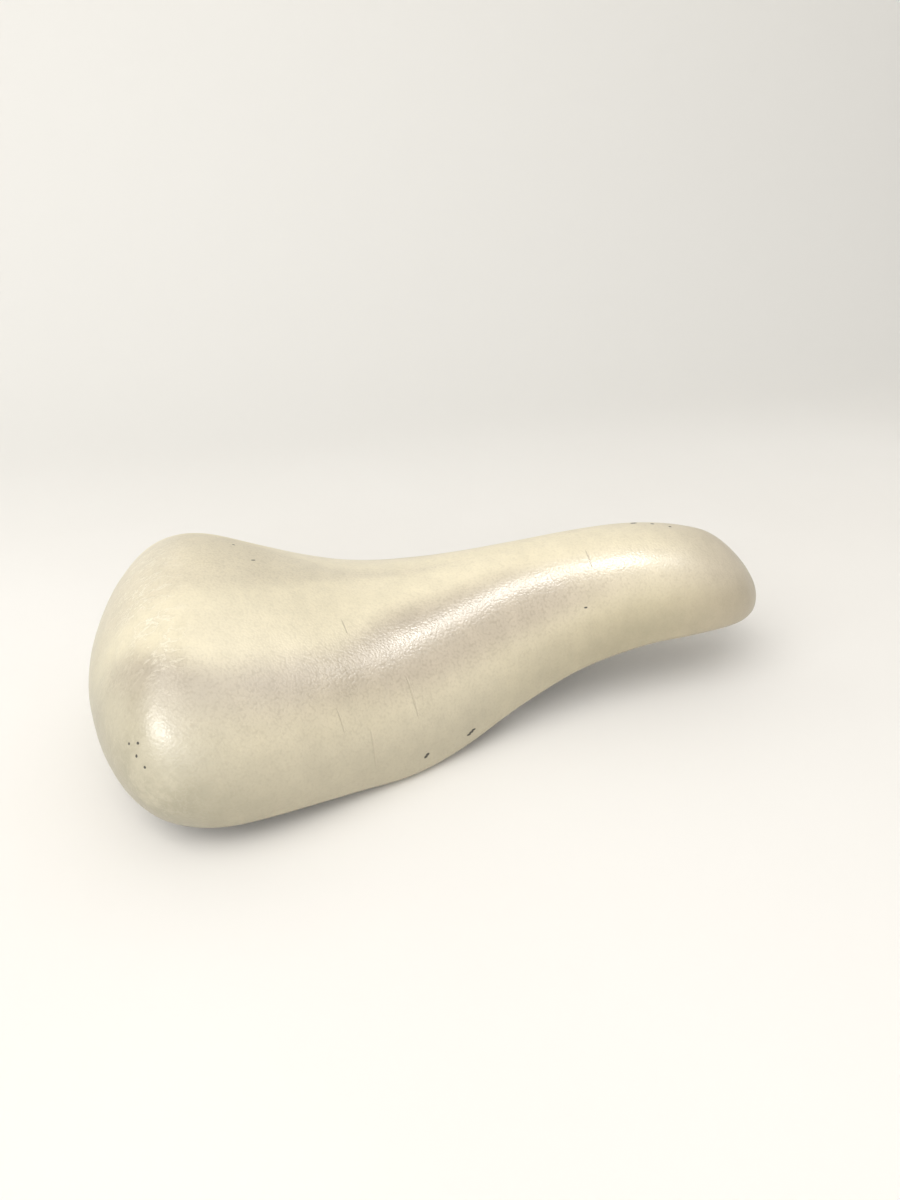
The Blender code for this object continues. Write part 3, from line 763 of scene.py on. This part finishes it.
# ------------------------------------------------------------------- materials
class Nodes:
    """A short way to write a material's node tree."""

    def __init__(self, name):
        self.material = bpy.data.materials.new(name)
        self.material.use_nodes = True
        self.tree = self.material.node_tree
        self.shader = self.tree.nodes["Principled BSDF"]
        self.place = self.add("TexCoord").outputs["Object"]

    def add(self, kind, links=(), **settings):
        node = self.tree.nodes.new("ShaderNode" + kind)
        for key, value in settings.items():
            setattr(node, key, value)
        for socket, value in dict(links).items():
            self.put(node.inputs[socket], value)
        return node

    def put(self, socket, value):
        if isinstance(value, bpy.types.NodeSocket):
            self.tree.links.new(value, socket)
        else:
            socket.default_value = value

    def set(self, **values):
        """Sets the shader's own sockets. Underscores in the names stand for spaces."""
        for key, value in values.items():
            self.put(self.shader.inputs[key.replace("_", " ")], value)

    def mark(self, name):
        return self.add("Attribute", attribute_name=name).outputs["Fac"]

    def math(self, operation, a, b=0.5, c=0.5):
        return self.add("Math", {0: a, 1: b, 2: c}, operation=operation).outputs[0]

    def smooth(self, value, start, end, low=0.0, high=1.0):
        """A value eased from low to high as the input goes from start to end."""
        node = self.add("MapRange", {"Value": value, 1: start, 2: end, 3: low, 4: high})
        node.interpolation_type = "SMOOTHSTEP"
        return node.outputs[0]

    def mix(self, share, a, b, blend="MIX"):
        node = self.add("Mix", data_type="RGBA", blend_type=blend)
        for socket, value in ((0, share), (6, a), (7, b)):
            if isinstance(value, tuple):
                value = (*value, 1)
            self.put(node.inputs[socket], value)
        return node.outputs[2]

    def noise(self, size, detail=2.0, rough=0.5, stretch=(1, 1, 1)):
        """Noise with features of about the given size in metres, from 0 to 1."""
        scale = tuple(1 / (size * s) for s in stretch)
        scaled = self.add("Mapping", {"Vector": self.place, "Scale": scale}).outputs[0]
        links = {"Vector": scaled, "Scale": 1, "Detail": detail, "Roughness": rough}
        return self.add("TexNoise", links).outputs[0]

    def cells(self, size, feature="F1", distort=0.0):
        """Distance pattern of cells of about the given size in metres."""
        place = self.place
        if distort:
            bend = self.add("TexNoise", {"Vector": place, "Scale": 0.6 / size, "Detail": 1})
            terms = {0: bend.outputs["Color"], 1: (distort,) * 3, 2: place}
            place = self.add("VectorMath", terms, operation="MULTIPLY_ADD").outputs[0]
        node = self.add("TexVoronoi", {"Vector": place, "Scale": 1 / size}, feature=feature)
        return node.outputs["Distance"]

    def spot(self, centre, size, turn=0.0, ragged=0.0):
        """1 inside an ellipsoid, 0 outside: centre and half sizes in millimetres, turned about Z."""
        where = {"Location": Vector(centre) * MM, "Scale": Vector(size) * MM}
        where["Rotation"] = (0, 0, math.radians(turn))
        local = self.add("Mapping", {"Vector": self.place, **where}, vector_type="TEXTURE").outputs[0]
        far = self.add("VectorMath", {0: local}, operation="LENGTH").outputs["Value"]
        if ragged:
            far = self.math("MULTIPLY_ADD", self.noise(max(size) * MM / 3, 3), ragged, far)
        return self.smooth(far, 0.7 + ragged / 2, 1.1 + ragged / 2, 1.0, 0.0)

    def most(self, masks):
        """The largest of several masks."""
        total = masks[0]
        for mask in masks[1:]:
            total = self.math("MAXIMUM", total, mask)
        return total

    def bump(self, height, depth, strength=1.0, before=None):
        links = {"Height": height, "Distance": depth, "Strength": strength}
        if before:
            links["Normal"] = before
        return self.add("Bump", links).outputs[0]


# ------------------------------------------------ the vinyl's looks
DRIFT = 7.0  # millimetres by which the soiled areas' edges wander
BLOTCH = 38 * MM  # sizes of the patterns
YELLOWING = 55 * MM
WIPING = 26 * MM
MOTTLE = 6 * MM
PEBBLE = 0.8 * MM
WRINKLE = 1.5 * MM
UNEVEN = 9 * MM
CRACK = 11 * MM
FLAKE = 2.5 * MM
CREAM = (0.84, 0.765, 0.57)
SOILED = (0.545, 0.478, 0.376)
# painted shade: the flanks made darker towards the rim, as if lit from above
FLANK_PAINTED_SHADE = (0.62, 0.62, 0.605)  # multiplies the colour towards the rim
# yellowed, and darker still with painted shade on the nose's flank
NOSE_FLANK_YELLOWING_AND_SHADE = (0.80, 0.78, 0.72)  # and again towards the nose
# painted shade round the tail, a little greyer
TAIL_PAINTED_SHADE = (0.72, 0.735, 0.73)  # and round the tail
AGED = (0.74, 0.66, 0.44)
RUBBED = (0.54, 0.50, 0.38)
# painted shade in the grain's hollows, with dirt there too where the vinyl is soiled
GRAIN_DIRT_AND_SHADE = (0.30, 0.25, 0.17)
CREASED = (0.93, 0.88, 0.72)
NICK = (0.045, 0.04, 0.03)
SCRATCH = (0.52, 0.46, 0.34)
NICKS = (  # centre and half sizes in millimetres, turn about Z in degrees
    ((81, 7, 62), (2.0, 1.2, 1.5), 20),
    ((88, 4, 62.5), (0.9, 0.8, 1.0), 0),
    ((94, 0, 62), (0.7, 0.6, 1.0), 0),
    ((46, -27.5, 45), (0.9, 1.2, 0.35), 0),
    ((-24.4, -52.5, 8.6), (0.9, 1.5, 0.7), 20),
    ((-23.7, -52.2, 9.3), (0.9, 1.5, 0.7), 20),
    ((-6.4, -45.3, 9.8), (1.2, 1.5, 0.55), 25),
    ((-5.4, -45.0, 10.4), (1.2, 1.5, 0.55), 25),
    ((-4.4, -44.6, 11.0), (1.1, 1.5, 0.5), 25),
    ((-119, -64, 41), (0.5, 0.5, 0.5), 0),
    ((-116, -66, 42), (0.6, 0.6, 0.5), 0),
    ((-117, -67.5, 38.5), (0.5, 0.5, 0.6), 0),
    ((-115, -70.5, 36), (0.5, 0.5, 0.5), 0),
    ((-80, 10, 72), (0.6, 0.5, 1.0), 0),
    ((-74, -2.5, 70), (1.1, 0.35, 1.0), 35),
)
SCRATCHES = (  # centre and half sizes in millimetres, turn about Z in degrees
    ((-44, -58, 20), (0.45, 4, 8), 18),
    ((-27.5, -48, 31), (0.45, 6, 9), 22),
    ((-66, -63, 27), (0.30, 4, 6), 12),
    ((-54, -59, 33), (0.30, 4, 5), 24),
    ((-47, -31, 53), (0.30, 4, 3), 10),
    ((52, -14, 59), (0.30, 5, 4), 0),
    ((-52, 60, 24), (0.35, 4, 7), -18),
    ((-20, 48, 28), (0.30, 4, 6), -24),
)
RUBS = (  # centre and half sizes in millimetres, turn about Z in degrees
    ((-113, -71, 33), (10, 8, 13), 0),
    ((-120, -50, 42), (7, 12, 9), 0),
    ((-117, 66, 36), (7, 7, 9), 0),
    ((128, 0, 38), (7, 14, 9), 0),
)


def soiling(n, x, rib, blotch):
    """Where the vinyl is soiled: beside the pale area, and faintly along the middle of the rear."""
    drift = n.math("MULTIPLY_ADD", blotch, DRIFT, -DRIFT / 2)
    beside = n.smooth(n.math("ADD", n.mark("sit"), drift), -5.0, 8.0)
    middle = n.smooth(n.math("ADD", n.mark("streak"), drift), -5.0, 5.0, 0.32, 0.0)
    along_nose = n.smooth(x, 30 * MM, 80 * MM, 1.0, 0.30)
    down_flank = n.smooth(rib, 0.52, 0.72, 1.0, 0.25)
    share = n.math("MULTIPLY", along_nose, down_flank)
    return n.math("MULTIPLY", n.math("MAXIMUM", beside, middle), share)


def shaded(n, share, colour, tint):
    """The colour multiplied by a tint, by the given share."""
    return n.mix(share, colour, n.mix(1.0, colour, tint, "MULTIPLY"))


def vinyl_tone(n, x, rib, soil):
    """The colour before wear: soiled, also over the nose; painted shade low down, round the tail and on
    the nose's flank, which is also yellowed; and uneven.
    """
    colour = n.mix(soil, CREAM, SOILED)
    # painted shade low down the flanks
    colour = shaded(n, n.smooth(rib, 0.50, 0.95), colour, FLANK_PAINTED_SHADE)
    colour = n.mix(n.smooth(x, 66 * MM, 120 * MM, 0.0, 0.75), colour, SOILED)
    # the nose's flank yellowed, and darkened with painted shade
    at_nose = n.math("MULTIPLY", n.smooth(x, -10 * MM, 70 * MM), n.smooth(rib, 0.45, 0.85))
    colour = shaded(n, at_nose, colour, NOSE_FLANK_YELLOWING_AND_SHADE)
    # painted shade round the tail, strongest low down
    low_tail = n.smooth(rib, 0.35, 0.8, 0.3, 1.0)
    at_tail = n.math("MULTIPLY", n.smooth(x, -118 * MM, -65 * MM, 1.0, 0.0), low_tail)
    colour = shaded(n, at_tail, colour, TAIL_PAINTED_SHADE)
    aged = n.smooth(n.noise(YELLOWING, 5, 0.65), 0.48, 0.75, 0.0, 0.35)
    colour = n.mix(aged, colour, n.mix(0.5, colour, AGED))
    wiped = n.smooth(n.noise(WIPING, 5, 0.65, (0.35, 1, 1)), 0.3, 0.7, 0.965, 1.025)
    shade = n.math("MULTIPLY", n.smooth(n.noise(MOTTLE, 3, 0.6), 0.25, 0.75, 0.96, 1.03), wiped)
    grey = n.add("CombineColor", {0: shade, 1: shade, 2: shade}).outputs[0]
    return n.mix(1.0, colour, grey, "MULTIPLY")


def crease_lines(n, x, rib):
    """Thin wandering lines over the rear edge of the tail."""
    web = n.math("ABSOLUTE", n.math("SUBTRACT", n.noise(CRACK, 5, 0.6, (1, 0.5, 1)), 0.5))
    rear = n.smooth(x, -112 * MM, -92 * MM, 1.0, 0.0)
    upper = n.smooth(rib, 0.4, 0.6, 1.0, 0.1)
    lines = n.smooth(web, 0.0, 0.026, 1.0, 0.0)
    return n.math("MULTIPLY", lines, n.math("MULTIPLY", rear, upper))


def vinyl():
    """Cream vinyl with a pebble grain, pale where it is sat on, soiled beside that, and nicked."""
    n = Nodes("cream_vinyl")
    x = n.add("SeparateXYZ", {0: n.place}).outputs[0]
    rib = n.mark("rib")
    blotch = n.noise(BLOTCH, 4, 0.6)
    soil = soiling(n, x, rib, blotch)
    colour = vinyl_tone(n, x, rib, soil)

    pebble = n.cells(PEBBLE, "SMOOTH_F1", 0.5 * MM)
    # the grain's hollows darkened: painted shade everywhere, and dirt, more where soiled
    dirt_and_shade = n.math("MULTIPLY", n.smooth(pebble, 0.35, 0.75), n.math("MULTIPLY_ADD", soil, 0.20, 0.10))
    colour = n.mix(dirt_and_shade, colour, GRAIN_DIRT_AND_SHADE)
    creased = crease_lines(n, x, rib)
    colour = n.mix(n.math("MULTIPLY", creased, 0.75), colour, CREASED)
    rub = n.most([n.spot(*row, ragged=0.9) for row in RUBS])
    grime = n.math("MULTIPLY", rub, n.smooth(n.noise(FLAKE, 4, 0.7), 0.30, 0.75, 0.15, 0.65))
    colour = n.mix(grime, colour, RUBBED)
    scratch = n.most([n.spot(*row, ragged=0.5) for row in SCRATCHES])
    colour = n.mix(n.math("MULTIPLY", scratch, 0.65), colour, SCRATCH)
    nick = n.most([n.spot(*row, ragged=0.4) for row in NICKS])
    colour = n.mix(nick, colour, NICK)

    gloss = n.smooth(blotch, 0.3, 0.7, 0.36, 0.29)
    gloss = n.math("MULTIPLY_ADD", soil, -0.03, gloss)
    gloss = n.math("MULTIPLY_ADD", n.math("MAXIMUM", grime, nick), 0.25, gloss)
    near_tail = n.smooth(x, -80 * MM, -50 * MM, 1.0, 0.0)
    dulled = n.math("MULTIPLY", n.smooth(x, -104 * MM, -94 * MM), near_tail)
    gloss = n.math("MULTIPLY_ADD", dulled, 0.20, gloss)
    surface = n.bump(n.noise(UNEVEN, 3, 0.55), 0.25 * MM, 0.22)
    surface = n.bump(n.noise(WRINKLE, 3, 0.6), 0.08 * MM, 0.35, surface)
    surface = n.bump(n.math("SUBTRACT", 1.0, pebble), 0.11 * MM, 0.75, surface)
    surface = n.bump(creased, 0.25 * MM, 0.6, surface)
    intact = n.math("SUBTRACT", 1.0, n.math("MAXIMUM", nick, scratch))
    surface = n.bump(intact, 0.15 * MM, 0.8, surface)
    n.set(Base_Color=colour, Roughness=gloss, Normal=surface, Specular_IOR_Level=0.85)
    return n.material


# ------------------------------------------------ the other materials' looks
FOAM_DARK = (0.80, 0.70, 0.40)
FOAM_LIGHT = (0.88, 0.80, 0.56)
# painted shade in the foam's pores
FOAM_PORE_SHADE = (0.52, 0.42, 0.20)
NYLON = (0.022, 0.022, 0.024)
NYLON_SCUFF = (0.10, 0.098, 0.092)
PIT = (0.20, 0.13, 0.08)
METALS = {  # colour, tarnish, roughness, how far marks are drawn out, amount of tarnish
    "chromed_steel": ((0.80, 0.80, 0.81), (0.60, 0.56, 0.50), 0.10, 12, 0.35),
    "zinc_strap": ((0.63, 0.63, 0.60), (0.47, 0.45, 0.38), 0.30, 6, 0.7),
    "zinc_screw": ((0.68, 0.66, 0.58), (0.50, 0.42, 0.28), 0.26, 1, 0.6),
    "staple_steel": ((0.62, 0.62, 0.63), (0.45, 0.40, 0.33), 0.28, 4, 0.6),
}


def foam_look():
    """Yellowed open-celled foam, with painted shade in its pores."""
    n = Nodes("yellowed_foam")
    cell = n.cells(1.1 * MM, "F1", 0.6 * MM)
    colour = n.mix(n.noise(12 * MM, 4, 0.6), FOAM_DARK, FOAM_LIGHT)
    # painted shade in the pores
    colour = n.mix(n.smooth(cell, 0.4, 0.8, 0.0, 0.5), colour, FOAM_PORE_SHADE)
    surface = n.bump(n.math("SUBTRACT", 1.0, cell), 0.5 * MM, 0.9)
    n.set(Base_Color=colour, Roughness=0.95, Normal=surface)
    return n.material


def nylon_look():
    """Black nylon with a fine spark-eroded texture and grey handling scuffs."""
    n = Nodes("black_nylon")
    scuff = n.smooth(n.noise(9 * MM, 6, 0.75, (1, 3, 1)), 0.52, 0.75, 0.0, 0.45)
    colour = n.mix(scuff, NYLON, NYLON_SCUFF)
    rough = n.smooth(n.noise(20 * MM, 4), 0.3, 0.7, 0.42, 0.60)
    surface = n.bump(n.noise(0.5 * MM, 3, 0.6), 0.08 * MM, 0.6)
    n.set(Base_Color=colour, Roughness=rough, Normal=surface)
    return n.material


def metal_look(name):
    """Plated steel: tarnish in blotches, fine marks drawn out along X, and small pits."""
    colour, tarnish, rough, drawn, amount = METALS[name]
    n = Nodes(name)
    blotch = n.smooth(n.noise(7 * MM, 5, 0.7), 0.45, 0.72, 0.0, amount)
    lines = n.noise(0.35 * MM, 2, 0.6, (drawn, 1, 1))
    pits = n.smooth(n.cells(2.2 * MM), 0.06, 0.16, 1.0, 0.0)
    colour = n.mix(blotch, colour, tarnish)
    colour = n.mix(n.math("MULTIPLY", pits, amount), colour, PIT)
    gloss = n.math("MULTIPLY_ADD", blotch, 0.25, n.smooth(lines, 0.3, 0.7, rough, rough + 0.08))
    surface = n.bump(lines, 0.02 * MM, 0.4)
    surface = n.bump(n.math("SUBTRACT", 1.0, pits), 0.06 * MM, 0.5, surface)
    n.set(Base_Color=colour, Roughness=gloss, Normal=surface, Metallic=1.0)
    return n.material


# ------------------------------------------------------------------- studio
def studio():
    """A pale floor that curves up into a backdrop well behind the saddle, with painted shade on the
    paper further back.
    """
    profile = [(-FLOOR_SIZE / 2, 0.0), (WALL_Y - SWEEP_RADIUS, 0.0)]
    for i in range(1, SWEEP_STEPS + 1):
        a = math.pi / 2 * i / SWEEP_STEPS
        y = WALL_Y - SWEEP_RADIUS + SWEEP_RADIUS * math.sin(a)
        profile.append((y, SWEEP_RADIUS * (1 - math.cos(a))))
    profile.append((WALL_Y, WALL_HEIGHT))
    bm = bmesh.new()
    rows = [[bm.verts.new((x, y, z)) for y, z in profile] for x in (-FLOOR_SIZE / 2, FLOOR_SIZE / 2)]
    for i in range(len(profile) - 1):
        bm.faces.new((rows[0][i], rows[1][i], rows[1][i + 1], rows[0][i + 1]))
    made = linked("studio_floor", bm)
    n = Nodes("studio_paper")
    cloud = n.smooth(n.noise(CLOUD, 3), 0.3, 0.7)
    # painted shade: the paper turns darker further behind the saddle
    back = n.smooth(n.add("SeparateXYZ", {0: n.place}).outputs[1], *PAPER_SHADE_SPAN)
    paper = n.mix(back, n.mix(cloud, PAPER_LOW, PAPER_HIGH), PAPER_BACK_SHADE)
    n.set(Base_Color=paper, Roughness=0.7, Specular_IOR_Level=0.2)
    made.data.materials.append(n.material)


def area_light(name, place, aim, size, power, colour, matt_too):
    data = bpy.data.lights.new(name, "AREA")
    data.shape = "RECTANGLE"
    data.size, data.size_y = size
    data.energy = power
    data.color = colour
    made = bpy.data.objects.new(name, data)
    bpy.context.scene.collection.objects.link(made)
    made.location = place
    made.rotation_euler = (Vector(aim) - Vector(place)).to_track_quat("-Z", "Y").to_euler()
    made.visible_diffuse = matt_too


def lights():
    for row in LIGHTS:
        area_light(*row)
    world = bpy.data.worlds.new("studio")
    bpy.context.scene.world = world
    world.use_nodes = True
    back = world.node_tree.nodes["Background"]
    back.inputs[0].default_value = (*SKY, 1)
    back.inputs[1].default_value = SKY_STRENGTH


def camera():
    data = bpy.data.cameras.new("camera")
    data.lens = LENS
    made = bpy.data.objects.new("camera", data)
    bpy.context.scene.collection.objects.link(made)
    level = math.cos(ELEVATION)
    back = Vector((math.sin(AZIMUTH) * level, -math.cos(AZIMUTH) * level, math.sin(ELEVATION)))
    right = Vector((math.cos(AZIMUTH), math.sin(AZIMUTH), 0))
    up = back.cross(right)
    side = right * math.cos(ROLL) + up * math.sin(ROLL)
    top = up * math.cos(ROLL) - right * math.sin(ROLL)
    turn = Matrix((side, top, back)).transposed().to_4x4()
    made.matrix_world = Matrix.Translation(AIM + back * DISTANCE) @ turn
    bpy.context.scene.camera = made


# -------------------------------------------------------------------- assembly
def stands_for(made, node, look):
    """The piece takes the CAD node's place, moves with the saddle and gets its material."""
    made.data.materials.clear()
    made.data.materials.append(look)
    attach(made, "root")
    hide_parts(node)


def twin(first, name, matrix):
    """Another object with the same mesh."""
    made = bpy.data.objects.new(name, first.data)
    bpy.context.scene.collection.objects.link(made)
    made.matrix_world = matrix
    return made


def assemble_soft():
    cover = cover_piece()
    stands_for(cover, "cover", vinyl())
    foam = foam_piece()
    stands_for(foam, "foam_padding", foam_look())


def assemble_base():
    rail_look = metal_look("chromed_steel")
    strap_look = metal_look("zinc_strap")
    screw_look = metal_look("zinc_screw")
    stands_for(shell_piece(), "base_shell", nylon_look())
    reach = RAIL / 2 + GAP + STRAP + EAR / 2
    spots = []
    for word, side in (("left", 1), ("right", -1)):
        stands_for(rail_piece(word, side), f"rail_{word}", rail_look)
        place = side_place(side)
        strap = strap_piece(f"rear_strap_{word}", place, (0,), EAR, (-reach, reach))
        stands_for(strap, f"rear_rail_clamp_{word}", strap_look)
        for label, offset in (("outer", side * reach), ("inner", -side * reach)):
            spot = place @ Matrix.Translation((0, offset, 0))
            spots.append((f"rear_rail_clamp_{word}_screw_{label}", spot))
    place = nose_place()
    strap = strap_piece("nose_strap", place, (-NOSE_TIP[1], NOSE_TIP[1]), 0, (0,))
    stands_for(strap, "nose_rail_clamp", strap_look)
    spots.append(("nose_rail_clamp_screw", place))
    first = screw_piece("pan_head_1", spots[0][1])
    lift = Matrix.Translation((0, 0, -STRAP - 2 * GAP))
    for number, (node, spot) in enumerate(spots, start=1):
        screw = first if number == 1 else twin(first, f"pan_head_{number}", spot @ lift)
        stands_for(screw, node, screw_look)


def assemble_staples():
    look = metal_look("staple_steel")
    places = staple_places()
    first = staple_piece("staple_01", places[0])
    for number, place in enumerate(places, start=1):
        staple = first if number == 1 else twin(first, f"staple_{number:02d}", place)
        stands_for(staple, f"cover_staple_{number:02d}", look)


def main():
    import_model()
    bpy.context.scene.view_settings.view_transform = "Standard"
    camera()
    assemble_soft()
    assemble_base()
    assemble_staples()
    studio()
    lights()


main()
